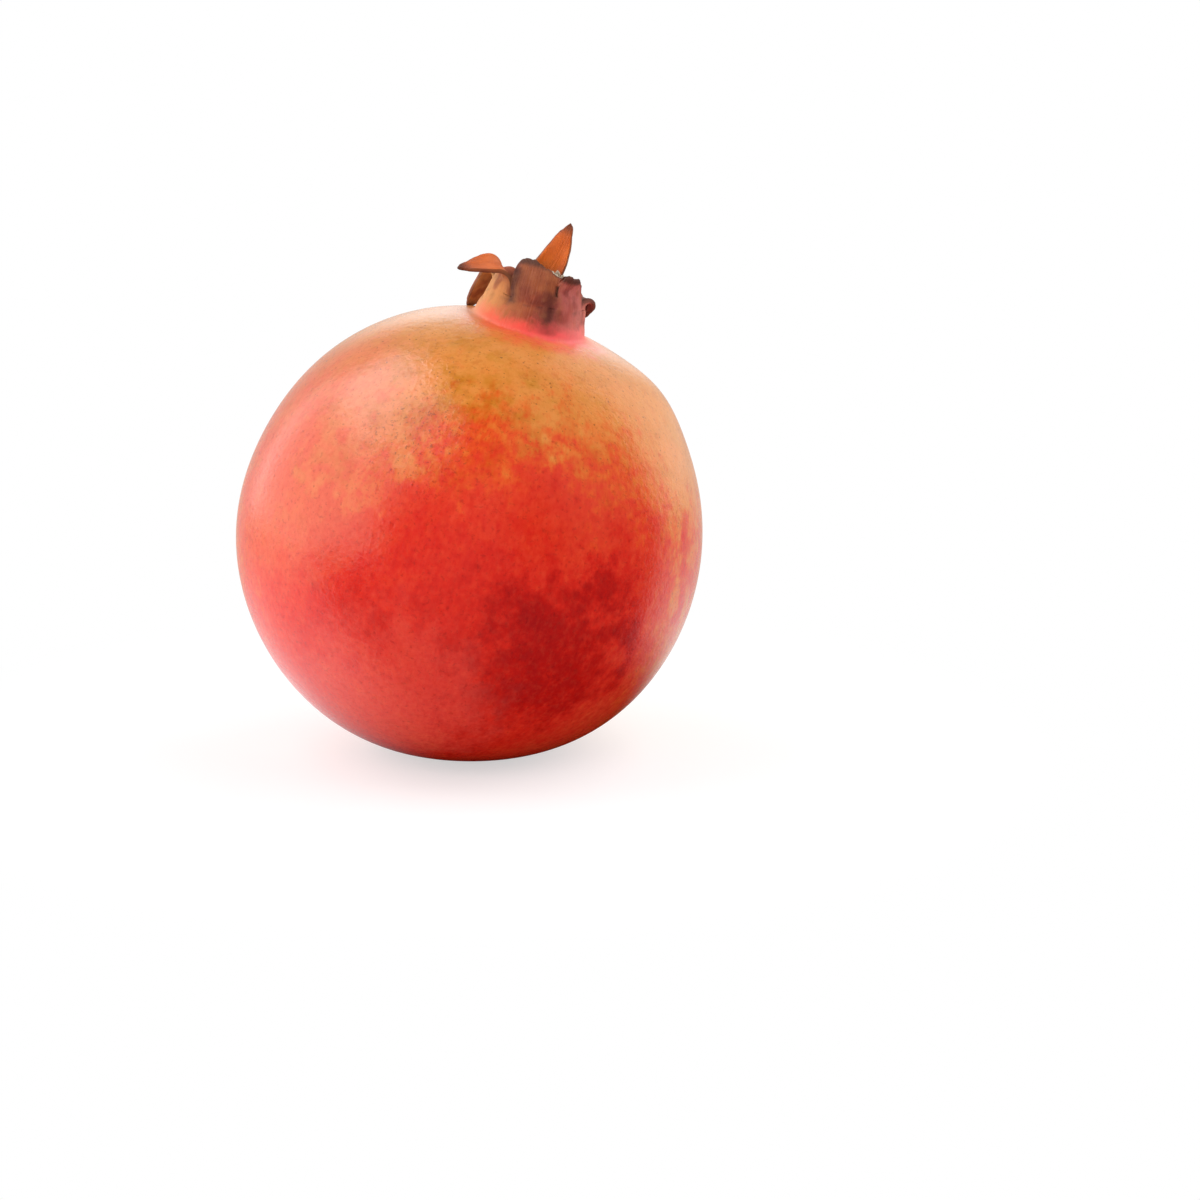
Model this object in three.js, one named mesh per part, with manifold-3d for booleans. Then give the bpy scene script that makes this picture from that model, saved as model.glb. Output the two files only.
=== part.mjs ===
// A ripe pomegranate standing at rest: the fruit with its calyx crown, the tuft of dried stamens
// inside the crown, and the clipped stub of the stalk under it. Millimetres, +Z up. The origin is
// the middle of the flat spot that the fruit rests on, and the crown leans from upright towards +X.

import * as THREE from "three";
import { mergeVertices } from "three/addons/utils/BufferGeometryUtils.js";
import Module from "manifold-3d";

const wasm = await Module();
wasm.setup();

const { degToRad, clamp, lerp } = THREE.MathUtils;
const { sin, cos, abs, exp, PI } = Math;

// Driving dimensions, in millimetres and degrees. Everything but the last transform is in the
// fruit's own frame, which has its origin at the middle of the body and +Z along the crown.

const BODY_RADIUS = 46; // mean radius of the round body
const CENTRE_HEIGHT = 43.9; // middle of the body above the surface it rests on
const CROWN_LEAN = 15.6; // crown's lean from upright

const SHOULDER_DROP = 1.3; // how much flatter the body is round the crown
const SHOULDER_SPREAD = 27; // and over what angle
const REST_SAG = 2.1; // flattening where the body bears its weight
const REST_SPREAD = 27;
const STEM_PIT = 3.4; // depth of the dimple that the stalk sits in
const STEM_PIT_SPREAD = 5.8;
const RIB_HEIGHT = 0.3; // six soft ribs, one over each chamber wall
const RIB_COUNT = 6;
const RIB_START = 85; // angle of the first rib round the crown
const WAVINESS = 0.24; // slow unevenness of the whole body
// Broad swellings and flats: how far from the crown axis, at what angle round it, how high and wide
const SWELLINGS = [
  { theta: 37, phi: 0, height: 1.2, spread: 12 },
  { theta: 78, phi: 180, height: -0.7, spread: 22 },
  { theta: 62, phi: 105, height: 0.8, spread: 24 },
  { theta: 100, phi: 60, height: -0.6, spread: 28 },
];

const SHOULDER_ANGLE = 15.6; // where the body turns up into the neck, from the crown axis
const NECK_RADIUS = 10.7; // outside of the neck at its narrowest
const NECK_HEIGHT = 45.7;
const NECK_SLOPE = 19; // lean of the neck's wall towards the axis there
const RIM_RADIUS = 8.9; // middle of the calyx tube's wall at the notches between sepals
const RIM_HEIGHT = 49.3;
const RIM_SLOPE = 15; // lean of the tube's wall towards the axis there
const SHOULDER_TURN = 3.2; // how far the shoulder's curve into the neck reaches
const TUBE_TURN = 3.8; // and the neck's curve into the tube
const WALL = 1.5; // thickness of the calyx tube
const SEPAL_THICKNESS = 1; // thickness of a sepal beyond its base
const EDGE_SHARE = 0.74; // a sepal's thickness at its edge, as a share of that
const CUP_RADIUS = 7; // inside of the calyx tube at its floor
const CUP_FLOOR = 42.3; // lowest point of the floor
const CUP_FLOOR_RISE = 1.2; // rise of the floor to its edge
const CUP_SLOPE = 150; // how the cup's wall turns into the floor, from straight up
const CUP_TURN = 5;

// The sepals, anticlockwise round the crown. Each stands between two notches at angles `from` and
// `to`, and is `length` long. Its outline is (1 - |across|^square)^(1 / round), drawn towards one
// side by `skew`. It grows straight on from the tube for the share bendFrom of its length, bends
// round an arc until bendTo, and ends `lean` degrees from the axis: 0 points up, 90 out, 180 down.
// It slants sideways by `slant`, its blade is turned about its own length by `twist` and is narrower
// than its foot by `taper`, its tip is curved across by `curl` per millimetre, and `notch` is the
// depth of wall left at the notch `from`.
// `columns` is how finely the skin is divided over it.
const SEPALS = [
  // Right: rolled back
  { from: -12, to: 60, length: 7.8, square: 1.5, round: 1.5, skew: 0.1, bendFrom: 0.04, bendTo: 0.54,
    lean: 172, slant: 0, twist: 0, taper: 0.12, curl: 0.05, notch: 0.5, columns: 18 },
  // Behind: stands up in a point
  { from: 60, to: 118, length: 14.5, square: 1.5, round: 1.35, skew: 0, bendFrom: 0.1, bendTo: 0.9,
    lean: 6, slant: -9, twist: 8, taper: 0.1, curl: 0.14, notch: 0.9, columns: 10 },
  // Behind left: hangs down over the shoulder
  { from: 118, to: 172, length: 15.8, square: 1.5, round: 1.3, skew: 0, bendFrom: 0.04, bendTo: 0.4,
    lean: 156, slant: 6, twist: 0, taper: 0.12, curl: 0.05, notch: 0.6, columns: 20 },
  // Left: spreads out level
  { from: 172, to: 236, length: 13.2, square: 1.5, round: 1.4, skew: 0, bendFrom: 0.14, bendTo: 0.5,
    lean: 105, slant: 0, twist: 20, taper: 0.12, curl: 0.08, notch: 0.6, columns: 16 },
  // Front: blunt and folded inwards
  { from: 236, to: 290, length: 9.3, square: 5, round: 2.6, skew: -0.25, bendFrom: 0.46, bendTo: 0.96,
    lean: -75, slant: -8, twist: 0, taper: -0.05, curl: 0.09, notch: 0.9, columns: 12 },
  // Front right: short, its edge turned out
  { from: 290, to: 348, length: 6.4, square: 3.4, round: 2.2, skew: -0.2, bendFrom: 0.48, bendTo: 0.94,
    lean: 85, slant: 0, twist: 0, taper: 0.04, curl: 0.06, notch: 2, columns: 12 },
];

const FILAMENT_COUNT = 48;
const FILAMENT_THICKNESS = 0.66; // across a dried filament
const FILAMENT_LENGTHS = [5.4, 8.3];
const FILAMENT_ROOTS = [0.45, 0.86]; // how far out they stand, as shares of the saucer's radius
const FILAMENT_NOD = [-0.2, 2.6]; // how far a tip has moved towards the middle
const FILAMENT_SWAY = [-1.6, 1.6]; // and to the side
const GOLDEN_ANGLE = 137.508; // turn from one filament to the next
const ANTHER_THICKNESS = 1.25;
const STYLE_THICKNESS = 1.5; // the withered style in the middle
const STYLE_LENGTH = 6.2;
const STRAND_STEPS = 4; // steps along a filament or the style
const DISC_RADIUS = 6.3; // saucer that the filaments grow from
const DISC_HEIGHT = 43.3; // its underside at the middle
const DISC_THICKNESS = 0.9;
const DISC_RISE = 0.8; // rise of its edge

const STALK_RADIUS = 1.8;
const STALK_TOP = -42.8; // where the stub meets the dimple
const STALK_CUT = -44.7; // where it was clipped

// How finely the skin is divided
const STEM_ROWS = 11; // rows round the stalk and the flat spot, this many degrees apart
const STEM_ROW_STEP = 2.6;
const BODY_ROWS = 18;
const NECK_ROWS = 4;
const TUBE_ROWS = 2;
const SEPAL_ROWS = 9;
const CUP_ROWS = 4;
const FLOOR_ROWS = 2;
const OUTLINE_STEPS = 400; // steps in which a sepal's outline is measured
const CURL_WEIGHT = 3; // millimetres of outline that a radian of curl counts as

const smooth = (x) => THREE.MathUtils.smoothstep(x, 0, 1);
const bell = (angle, spread) => exp(-((angle / degToRad(spread)) ** 2));
const upward = new THREE.Vector3(-sin(degToRad(CROWN_LEAN)), 0, cos(degToRad(CROWN_LEAN)));

/** A point at radius r round the crown axis, at the angle phi and the height z. */
const around = (r, phi, z) => new THREE.Vector3(r * cos(phi), r * sin(phi), z);

/** How far the broad swellings raise the body's surface in a direction. */
function swelling(direction) {
  return SWELLINGS.reduce((sum, { theta, phi, height, spread }) => {
    const middle = around(sin(degToRad(theta)), degToRad(phi), cos(degToRad(theta)));
    return sum + height * bell(direction.angleTo(middle), spread);
  }, 0);
}

/** The body's surface at the angle theta from the crown axis and phi round it: a ball with soft
 *  ribs and swellings, flatter round the crown and where it rests, and dimpled at the stalk. */
function bodyPoint(theta, phi) {
  const direction = around(sin(theta), phi, cos(theta));
  const girth = sin(theta) ** 2;
  const ribShare = girth * (0.6 + 0.4 * cos(theta)); // the ribs are stronger towards the crown
  const ribs = RIB_HEIGHT * cos(RIB_COUNT * (phi - degToRad(RIB_START))) * ribShare;
  const waves = WAVINESS * (sin(2 * phi + 1) * girth + sin(3 * theta + phi) * sin(theta));
  const radius = BODY_RADIUS + ribs + waves + swelling(direction)
    - SHOULDER_DROP * bell(theta, SHOULDER_SPREAD)
    - REST_SAG * bell(direction.angleTo(upward) - PI, REST_SPREAD)
    - STEM_PIT * bell(PI - theta, STEM_PIT_SPREAD);
  return flattened(direction.multiplyScalar(radius));
}

/** The flat spot: what would reach below the surface that the fruit rests on is pressed level. */
function flattened(point) {
  const below = -CENTRE_HEIGHT - point.dot(upward);
  return below > 0 ? point.addScaledVector(upward, below) : point;
}

/** A smooth curve from one [radius, height] to another, leaving and arriving by the given slopes. */
function bend([r0, z0], slope0, [r1, z1], slope1, pull, t) {
  const leave = pull * (t ** 3 - 2 * t ** 2 + t);
  const arrive = pull * (t ** 3 - t ** 2);
  const done = t ** 2 * (3 - 2 * t);
  return [
    lerp(r0, r1, done) - leave * sin(slope0) - arrive * sin(slope1),
    lerp(z0, z1, done) + leave * cos(slope0) + arrive * cos(slope1),
  ];
}

/** How far up a sepal reaches at the place across it, from -1 at one notch to 1 at the other. */
function sepalReach(sepal, across) {
  const next = SEPALS[(SEPALS.indexOf(sepal) + 1) % SEPALS.length];
  const outline = (1 - abs(across) ** sepal.square) ** (1 / sepal.round);
  const reach = sepal.length * outline * (1 + sepal.skew * across);
  return Math.max(across < 0 ? sepal.notch : next.notch, reach);
}

/** The lean of a sepal's middle line from the crown axis, at a distance along it. */
function sepalLean(sepal, along) {
  const bent = (along / sepal.length - sepal.bendFrom) / (sepal.bendTo - sepal.bendFrom);
  return degToRad(lerp(-RIM_SLOPE, sepal.lean, clamp(bent, 0, 1)));
}

const halfWidth = (sepal) => (RIM_RADIUS * degToRad(sepal.to - sepal.from)) / 2;

/** A point on a sepal's outer face (side 1) or inner face (side -1), at a share of its reach. */
function sepalPoint(sepal, across, share, side) {
  const reach = sepalReach(sepal, across);
  const along = reach * share;
  const part = clamp(along / sepal.length, 0, 1);

  // The middle line: straight, round an arc, then straight on
  const start = degToRad(-RIM_SLOPE);
  const end = degToRad(sepal.lean);
  const straight = sepal.bendFrom * sepal.length;
  const arc = (sepal.bendTo - sepal.bendFrom) * sepal.length;
  const lean = sepalLean(sepal, along);
  const arcRadius = arc / (end - start);
  const before = Math.min(along, straight);
  const after = Math.max(along - straight - arc, 0);
  const out = before * sin(start) + arcRadius * (cos(start) - cos(lean)) + after * sin(end);
  const up = before * cos(start) + arcRadius * (sin(lean) - sin(start)) + after * cos(end);

  // The blade across it: an arc that follows the tube at the base and opens or closes to the tip
  const middle = degToRad(sepal.from + sepal.to) / 2;
  const outward = around(1, middle, 0);
  const sideways = around(1, middle + PI / 2, 0);
  const face = around(cos(lean), middle, -sin(lean));
  const turn = degToRad(sepal.twist) * smooth(1.5 * part);
  const width = sideways.clone().multiplyScalar(cos(turn)).addScaledVector(face, sin(turn));
  const depth = face.clone().multiplyScalar(cos(turn)).addScaledVector(sideways, -sin(turn));
  const curve = lerp(1 / RIM_RADIUS, sepal.curl, smooth(2.4 * part));
  const taper = (1 + (before * sin(start)) / RIM_RADIUS) * (1 - sepal.taper * smooth(3 * part));
  const angle = curve * halfWidth(sepal) * taper * across;

  const slant = sin(degToRad(sepal.slant)) * along * smooth(2 * part);
  const edge = Math.sqrt(clamp((reach - along) / 2, 0, 1));
  const body = lerp(WALL, SEPAL_THICKNESS, smooth(2.5 * part));
  const thickness = share > 0 ? body * lerp(EDGE_SHARE, 1, edge) : WALL;
  return outward.multiplyScalar(RIM_RADIUS + out)
    .add(new THREE.Vector3(0, 0, RIM_HEIGHT + up))
    .addScaledVector(sideways, slant)
    .addScaledVector(width, sin(angle) / curve + (side * thickness * sin(angle)) / 2)
    .addScaledVector(depth, (cos(angle) - 1) / curve + (side * thickness * cos(angle)) / 2);
}

/** Where a sepal's columns stand across it: evenly along its outline, and closer where it curls. */
function columnPlaces(sepal) {
  const places = Array.from({ length: OUTLINE_STEPS + 1 }, (_, i) => (2 * i) / OUTLINE_STEPS - 1);
  const lengths = [0];
  for (let i = 1; i <= OUTLINE_STEPS; i++) {
    const [from, to] = [places[i - 1], places[i]].map((across) => sepalReach(sepal, across));
    const aside = 2 * halfWidth(sepal) * (places[i] - places[i - 1]);
    const curl = CURL_WEIGHT * abs(sepalLean(sepal, to) - sepalLean(sepal, from));
    lengths.push(lengths[i - 1] + aside + abs(to - from) + curl);
  }
  return Array.from({ length: sepal.columns }, (_, i) => {
    const wanted = (i / sepal.columns) * lengths[OUTLINE_STEPS];
    const after = Math.max(lengths.findIndex((length) => length >= wanted), 1);
    const share = (wanted - lengths[after - 1]) / (lengths[after] - lengths[after - 1]);
    return lerp(places[after - 1], places[after], share);
  });
}

/** The columns round the fruit, from notch to notch. */
function skinColumns() {
  return SEPALS.flatMap((sepal, index) => {
    const previous = SEPALS.at(index - 1);
    return columnPlaces(sepal).map((across) => {
      const phi = degToRad(lerp(sepal.from, sepal.to, (1 + across) / 2));
      return { sepal, previous, across, phi };
    });
  });
}

/** A row of the crown: at a notch, the two sepals that meet there share one point. */
function crownRow(columns, share, side) {
  return columns.map(({ sepal, previous, across }) => {
    const point = sepalPoint(sepal, across, share, side);
    return across > -1 ? point : point.add(sepalPoint(previous, 1, share, side)).multiplyScalar(0.5);
  });
}

/** The whole skin as rows of points, from the stalk's dimple up, over the crown and down its cup. */
function skinRows(columns) {
  const rows = [];
  const steps = (count, make) => {
    for (let i = 1; i <= count; i++) rows.push(make(i / count));
  };
  const lowRows = degToRad(STEM_ROWS * STEM_ROW_STEP);
  const bodyRow = (fromStalk) => columns.map(({ phi }) => bodyPoint(PI - fromStalk, phi));
  steps(STEM_ROWS, (t) => bodyRow(lowRows * t));
  steps(BODY_ROWS, (t) => bodyRow(lerp(lowRows, PI - degToRad(SHOULDER_ANGLE), t)));

  const shoulder = rows.at(-1);
  const neck = [NECK_RADIUS, NECK_HEIGHT];
  const neckSlope = degToRad(NECK_SLOPE);
  steps(NECK_ROWS, (t) => columns.map(({ phi }, i) => {
    const from = [Math.hypot(shoulder[i].x, shoulder[i].y), shoulder[i].z];
    const [r, z] = bend(from, PI / 2 - degToRad(SHOULDER_ANGLE), neck, neckSlope, SHOULDER_TURN, t);
    return around(r, phi, z);
  }));

  const rimSlope = degToRad(RIM_SLOPE);
  const rim = [RIM_RADIUS + (WALL / 2) * cos(rimSlope), RIM_HEIGHT + (WALL / 2) * sin(rimSlope)];
  steps(TUBE_ROWS, (t) => columns.map(({ phi }) => {
    const [r, z] = bend(neck, neckSlope, rim, rimSlope, TUBE_TURN, t);
    return around(r, phi, z);
  }));

  steps(SEPAL_ROWS, (t) => crownRow(columns, t, 1));
  rows.push(crownRow(columns, 1, -1));
  steps(SEPAL_ROWS, (t) => crownRow(columns, 1 - t, -1));

  const mouth = rows.at(-1);
  const floorEdge = [CUP_RADIUS, CUP_FLOOR + CUP_FLOOR_RISE];
  steps(CUP_ROWS, (t) => columns.map(({ phi }, i) => {
    const from = [Math.hypot(mouth[i].x, mouth[i].y), mouth[i].z];
    const [r, z] = bend(from, PI, floorEdge, degToRad(CUP_SLOPE), CUP_TURN, t);
    return around(r, phi, z);
  }));
  steps(FLOOR_ROWS, (t) => columns.map(({ phi }) => {
    const share = 1 - t * (FLOOR_ROWS / (FLOOR_ROWS + 1));
    return around(CUP_RADIUS * share, phi, CUP_FLOOR + CUP_FLOOR_RISE * share ** 3);
  }));
  return rows;
}

/** A closed mesh of rows of points, each row a ring, with one point closing each end. A quad is
 *  split from its first corner to the opposite one, or the other way where `other` says so. */
function ringGeometry(rows, start, finish, other = () => false) {
  const count = rows[0].length;
  const points = [...rows.flat(), start, finish];
  const triangles = [];
  for (let row = 0; row < rows.length - 1; row++) {
    for (let i = 0; i < count; i++) {
      const [a, b] = [row * count + i, row * count + ((i + 1) % count)];
      const [c, d] = [b + count, a + count];
      triangles.push(...(other(row, i) ? [a, b, d, b, c, d] : [a, b, c, a, c, d]));
    }
  }
  const last = (rows.length - 1) * count;
  for (let i = 0; i < count; i++) {
    const next = (i + 1) % count;
    triangles.push(points.length - 2, next, i, points.length - 1, last + i, last + next);
  }
  const geometry = new THREE.BufferGeometry().setFromPoints(points);
  geometry.setIndex(triangles);
  return geometry;
}

/** The skin's quads are split along the shorter way down each sepal's slanting rows, and alike on
 *  its outer and inner faces, whose rows run in opposite orders. */
function fruitGeometry() {
  const columns = skinColumns();
  const firstInnerRow = STEM_ROWS + BODY_ROWS + NECK_ROWS + TUBE_ROWS + SEPAL_ROWS;
  const risingSide = (i) => columns[i].across < 0;
  const other = (row, i) => (row < firstInnerRow) === risingSide(i);
  return ringGeometry(skinRows(columns), bodyPoint(PI, 0), new THREE.Vector3(0, 0, CUP_FLOOR), other);
}

/** A repeatable number from 0 to 1 for the filament `index`, a different one for each `use`. */
function varied(index, use) {
  const value = sin(index * 12.9898 + use * 78.233) * 43758.5453;
  return value - Math.floor(value);
}

/** A three-sided strand along a path: its thickness is given along its length from 0 to 1. */
function strandGeometry(path, thickness) {
  const frames = path.computeFrenetFrames(STRAND_STEPS);
  const rows = Array.from({ length: STRAND_STEPS + 1 }, (_, step) => {
    const radius = thickness(step / STRAND_STEPS) / 2;
    const middle = path.getPointAt(step / STRAND_STEPS);
    return Array.from({ length: 3 }, (_, corner) => {
      const angle = (corner * 2 * PI) / 3;
      return middle.clone()
        .addScaledVector(frames.normals[step], radius * cos(angle))
        .addScaledVector(frames.binormals[step], radius * sin(angle));
    });
  });
  return ringGeometry(rows, path.getPointAt(0), path.getPointAt(1));
}

/** A filament: rooted in the saucer, it rises along the cup's wall and nods towards the middle. */
function filament(index) {
  const phi = index * degToRad(GOLDEN_ANGLE);
  const root = DISC_RADIUS * lerp(...FILAMENT_ROOTS, Math.sqrt((index + 0.5) / FILAMENT_COUNT));
  const length = lerp(...FILAMENT_LENGTHS, varied(index, 1));
  const nod = lerp(...FILAMENT_NOD, varied(index, 2));
  const sway = lerp(...FILAMENT_SWAY, varied(index, 3));
  const foot = DISC_HEIGHT + DISC_THICKNESS / 2 + DISC_RISE * (root / DISC_RADIUS) ** 2;
  const place = (share, inward, aside) =>
    around(root - inward, phi + aside / root, foot + length * share);
  const path = new THREE.QuadraticBezierCurve3(place(0, 0, 0), place(0.6, -0.1, 0), place(1, nod, sway));
  const thickness = (t) => (t < 0.7 ? FILAMENT_THICKNESS : ANTHER_THICKNESS * (t < 0.95 ? 1 : 0.6));
  return strandGeometry(path, thickness);
}

/** The withered style: it stands in the middle of the saucer, thins upwards and ends in a knob. */
function style() {
  const foot = DISC_HEIGHT + DISC_THICKNESS / 2;
  const tip = new THREE.Vector3(0.7, 0.4, foot + STYLE_LENGTH);
  const path = new THREE.LineCurve3(new THREE.Vector3(0, 0, foot), tip);
  return strandGeometry(path, (t) => STYLE_THICKNESS * (t < 0.8 ? 1 - 0.4 * t : 1.1));
}

/** The whole tuft: a saucer with the style and the filaments rooted in it, as one solid. */
function stamensGeometry() {
  const edge = DISC_HEIGHT + DISC_RISE;
  const top = DISC_HEIGHT + DISC_THICKNESS;
  const profile = [
    [0, DISC_HEIGHT], [0.6 * DISC_RADIUS, DISC_HEIGHT + 0.2 * DISC_RISE], [DISC_RADIUS, edge],
    [DISC_RADIUS, edge + DISC_THICKNESS], [0.6 * DISC_RADIUS, top], [0, top],
  ].map(([r, z]) => new THREE.Vector2(r, z));
  const saucer = new THREE.LatheGeometry(profile, 24).rotateX(PI / 2);
  const filaments = Array.from({ length: FILAMENT_COUNT }, (_, index) => filament(index));
  return joined([saucer, style(), ...filaments]);
}

/** One solid out of closed geometries that cross each other. */
function joined(geometries) {
  const whole = geometries.map(solid).reduce((a, b) => a.add(b));
  const mesh = whole.getMesh();
  const geometry = new THREE.BufferGeometry();
  geometry.setAttribute("position", new THREE.BufferAttribute(mesh.vertProperties, 3));
  geometry.setIndex(new THREE.BufferAttribute(mesh.triVerts, 1));
  return geometry;
}

/** A closed geometry as a solid that can be joined to others. */
function solid(geometry) {
  const bare = geometry.clone();
  bare.deleteAttribute("normal");
  bare.deleteAttribute("uv");
  const merged = mergeVertices(bare, 1e-5);
  const vertProperties = new Float32Array(merged.attributes.position.array);
  const triVerts = new Uint32Array(merged.index.array);
  return new wasm.Manifold(new wasm.Mesh({ numProp: 3, vertProperties, triVerts }));
}

/** The clipped stalk: a short peg, a little thinner where it was cut. */
function stalkGeometry() {
  const height = STALK_TOP - STALK_CUT;
  const stub = new THREE.CylinderGeometry(STALK_RADIUS, STALK_RADIUS * 0.9, height, 16);
  return stub.rotateX(PI / 2).translate(0, 0, (STALK_TOP + STALK_CUT) / 2);
}

const finish = (color, roughness) => new THREE.MeshStandardMaterial({ color, roughness, metalness: 0 });

function piece(name, geometry, material) {
  const mesh = new THREE.Mesh(geometry, material);
  mesh.name = name;
  return mesh;
}

const leaning = new THREE.Group();
leaning.rotation.y = degToRad(CROWN_LEAN);
leaning.position.z = CENTRE_HEIGHT;
leaning.add(
  piece("fruit", fruitGeometry(), finish(0xb5351f, 0.38)),
  piece("stamens", stamensGeometry(), finish(0xa8845c, 0.8)),
  piece("stem_stub", stalkGeometry(), finish(0x7d6244, 0.85)),
);

const pomegranate = new THREE.Group();
pomegranate.add(leaning);

export default pomegranate;
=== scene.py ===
"""A ripe pomegranate at rest on a pale table: its leathery rind with the calyx crown, the dried stamens
inside the crown, and the clipped stalk under it. Lengths are millimetres until a mesh is made, and
metres in materials and on the stage."""

from types import SimpleNamespace as Sepal

import bpy
import numpy as np
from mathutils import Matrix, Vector


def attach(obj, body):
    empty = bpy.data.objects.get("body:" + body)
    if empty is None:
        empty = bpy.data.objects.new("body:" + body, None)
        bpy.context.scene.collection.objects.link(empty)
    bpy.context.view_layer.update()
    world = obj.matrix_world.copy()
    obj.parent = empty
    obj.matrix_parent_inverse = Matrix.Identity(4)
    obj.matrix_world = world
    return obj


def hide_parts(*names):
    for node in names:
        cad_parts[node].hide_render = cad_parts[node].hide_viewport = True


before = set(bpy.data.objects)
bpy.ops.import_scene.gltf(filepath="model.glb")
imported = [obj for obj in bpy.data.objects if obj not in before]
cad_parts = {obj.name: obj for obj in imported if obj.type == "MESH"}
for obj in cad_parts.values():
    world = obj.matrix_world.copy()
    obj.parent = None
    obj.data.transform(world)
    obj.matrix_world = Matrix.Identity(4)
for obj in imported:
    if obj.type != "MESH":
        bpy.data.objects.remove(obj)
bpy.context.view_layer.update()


# ------------------------
# THE FRUIT: BODY. A ball of leathery rind round packed seeds, softly ribbed where the chamber walls
# meet it, pressed level where it lies and dimpled round the stalk. Its own frame, which all pieces
# use, has its origin in the middle of the body and +Z along the crown.

BODY_RADIUS = 46
CENTRE_HEIGHT = 43.9  # middle of the body above the table
CROWN_LEAN = np.radians(15.6)  # the crown leans from upright towards +X
SHOULDER_DROP, SHOULDER_SPREAD = 1.3, 27
REST_SAG, REST_SPREAD = 2.1, 27
STEM_PIT, STEM_PIT_SPREAD = 3.4, 5.8
RIB_HEIGHT, RIB_COUNT, RIB_START = 0.3, 6, np.radians(85)
WAVINESS = 0.24
SWELLINGS = [  # degrees from the crown axis, degrees round it, height, degrees of spread
    (37, 0, 1.2, 12),
    (78, 180, -0.7, 22),
    (62, 105, 0.8, 24),
    (100, 60, -0.6, 28),
]
UPWARD = np.array([-np.sin(CROWN_LEAN), 0, np.cos(CROWN_LEAN)])


def smooth(x):
    """3x^2 - 2x^3, held at 0 below 0 and at 1 above 1."""
    x = np.clip(x, 0, 1)
    return x * x * (3 - 2 * x)


def between(low, high, share):
    """low at share 0, high at share 1, and straight between."""
    return low + (high - low) * share


def bell(angle, spread):
    """exp(-(angle / spread)^2), with the spread in degrees."""
    return np.exp(-((angle / np.radians(spread)) ** 2))


def around(radius, phi, height):
    """Points at that radius from the crown axis, turned by phi round it, at that height."""
    radius, phi, height = np.broadcast_arrays(radius, phi, height)
    return np.stack([radius * np.cos(phi), radius * np.sin(phi), height], -1)


def apart(directions, axis):
    """The angle between unit vectors and one axis."""
    return np.arccos(np.clip(directions @ axis, -1, 1))


def body_points(theta, phi):
    """A ball in polar angles from the crown, its radius changed by cosine ribs, slow sine waves and
    bells: a drop round the crown, a sag where it lies, the stalk's pit and a few broad swellings.
    What would reach below the table is lifted to it along the upward direction."""
    direction = around(np.sin(theta), phi, np.cos(theta))
    girth = np.sin(theta) ** 2
    rib_share = girth * (0.6 + 0.4 * np.cos(theta))
    radius = BODY_RADIUS + RIB_HEIGHT * np.cos(RIB_COUNT * (phi - RIB_START)) * rib_share
    radius = radius + WAVINESS * (np.sin(2 * phi + 1) * girth + np.sin(3 * theta + phi) * np.sin(theta))
    for swell_theta, swell_phi, height, spread in SWELLINGS:
        t, p = np.radians(swell_theta), np.radians(swell_phi)
        radius = radius + height * bell(apart(direction, around(np.sin(t), p, np.cos(t))), spread)
    radius = radius - SHOULDER_DROP * bell(theta, SHOULDER_SPREAD)
    radius = radius - REST_SAG * bell(apart(direction, -UPWARD), REST_SPREAD)
    radius = radius - STEM_PIT * bell(np.pi - theta, STEM_PIT_SPREAD)
    points = direction * radius[..., None]
    below = np.maximum(-CENTRE_HEIGHT - points @ UPWARD, 0)
    return points + below[..., None] * UPWARD


# ------------------------
# THE FRUIT: CALYX. The rind is drawn up into a neck and a short tube, and the tube's rim is split
# into six leathery sepals that have dried, curled and darkened since the flower. Each has its own
# length, bend, twist and colours.

SHOULDER_ANGLE = np.radians(15.6)  # where the body turns up into the neck
NECK, NECK_SLOPE = (10.7, 45.7), np.radians(19)  # radius and height of the neck, and its lean inwards
RIM_RADIUS, RIM_HEIGHT, RIM_SLOPE = 8.9, 49.3, np.radians(15)
SHOULDER_TURN, TUBE_TURN = 4.2, 3.8
WALL, SEPAL_THICKNESS, EDGE_SHARE = 1.5, 1.0, 0.74
CUP_RADIUS, CUP_FLOOR, CUP_FLOOR_RISE = 7, 42.3, 1.2
CUP_SLOPE, CUP_TURN = np.radians(150), 5

ORANGE_SKIN = (0.66, 0.125, 0.009)
BROWN_SKIN = (0.22, 0.05, 0.02)
OLIVE_SKIN = (0.44, 0.18, 0.06)
MAUVE_SKIN = (0.38, 0.08, 0.065)

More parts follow.
